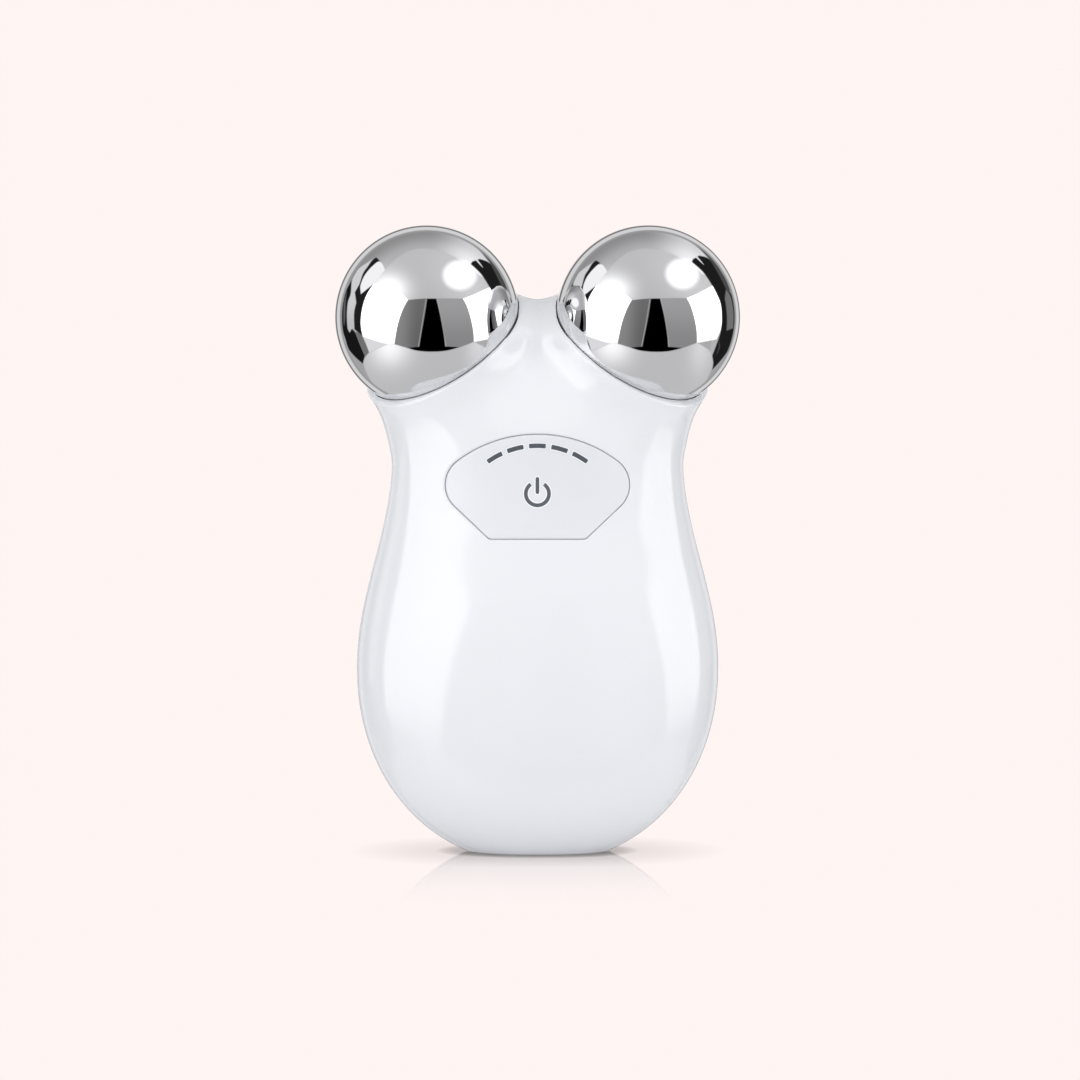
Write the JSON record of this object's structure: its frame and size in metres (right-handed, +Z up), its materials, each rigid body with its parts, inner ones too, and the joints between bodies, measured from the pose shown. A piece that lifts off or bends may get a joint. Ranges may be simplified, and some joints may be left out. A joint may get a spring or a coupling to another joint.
{
  "type": "facial toning device",
  "caption": "Palm-size pear-shaped hand unit with sphere electrodes in cups at the top and one pressable control panel on the front.",
  "frame": {"origin": "centre of the charging port in the flat base face, which is the plane z = 0", "axes": "+Z up from the base to the spheres, the control panel faces -Y, +X to the right when facing the panel"},
  "size_m": [0.0716, 0.0433, 0.1111],
  "materials": {
    "gloss_white": "high gloss white moulding",
    "cap_white": "fine matt moulding",
    "chrome": "mirror polish",
    "seal_black": "soft matt silicone",
    "plug_grey": "moulded",
    "brass": "turned",
    "steel": "zinc plated",
    "lead_black": "insulation",
    "lead_red": "insulation",
    "chassis_grey": "moulded ABS",
    "board_green": "solder mask",
    "light_white": "reflective white moulding",
    "panel_grey": "satin light grey",
    "window_grey": "smoked translucent",
    "chip_black": "moulded package",
    "led_yellow": "clear lens over phosphor",
    "core_brown": "ferrite and lacquered wire",
    "can_blue": "sleeved can",
    "battery_foil": "laminated foil",
    "pad_foam": "foam tape",
    "socket_white": "nylon"
  },
  "bodies": {
    "body": {"front_shell": "gloss_white", "rear_shell": "gloss_white", "base_cap": "cap_white", "left_sphere": "chrome", "right_sphere": "chrome", "sphere_seals": "seal_black", "left_sphere_plug": "plug_grey", "right_sphere_plug": "plug_grey", "plug_inserts": "brass", "electrode_screws": "steel", "ring_terminals": "brass", "left_electrode_lead": "lead_black", "right_electrode_lead": "lead_black", "chassis": "chassis_grey", "case_screws": "steel", "circuit_board": "board_green", "board_screws": "steel", "light_box": "light_white", "level_leds": "led_yellow", "switch_body": "chip_black", "microcontroller": "chip_black", "transformer": "core_brown", "capacitors": "can_blue", "buzzer": "chip_black", "battery": "battery_foil", "battery_pad": "pad_foam", "battery_socket": "socket_white", "battery_lead_red": "lead_red", "battery_lead_black": "lead_black", "charge_jack": "chip_black", "charge_pin": "brass", "charge_lead_red": "lead_red", "charge_lead_black": "lead_black"},
    "panel": {"control_panel": "panel_grey", "level_windows": "window_grey"},
    "plunger": {"switch_plunger": "chip_black"}
  },
  "joints": [
    {"name": "panel_press", "type": "slide", "parent": "body", "child": "panel", "axis": [0, 1, 0], "range_m": [0, 0.0004], "stiffness_N_per_m": 1500, "springref_m": -0.0004},
    {"name": "plunger_press", "type": "slide", "parent": "body", "child": "plunger", "axis": [0, 1, 0], "range_m": [0, 0.0004]}
  ],
  "couplings": [
    {"joint": "plunger_press", "follows": "panel_press", "ratio": 1}
  ]
}
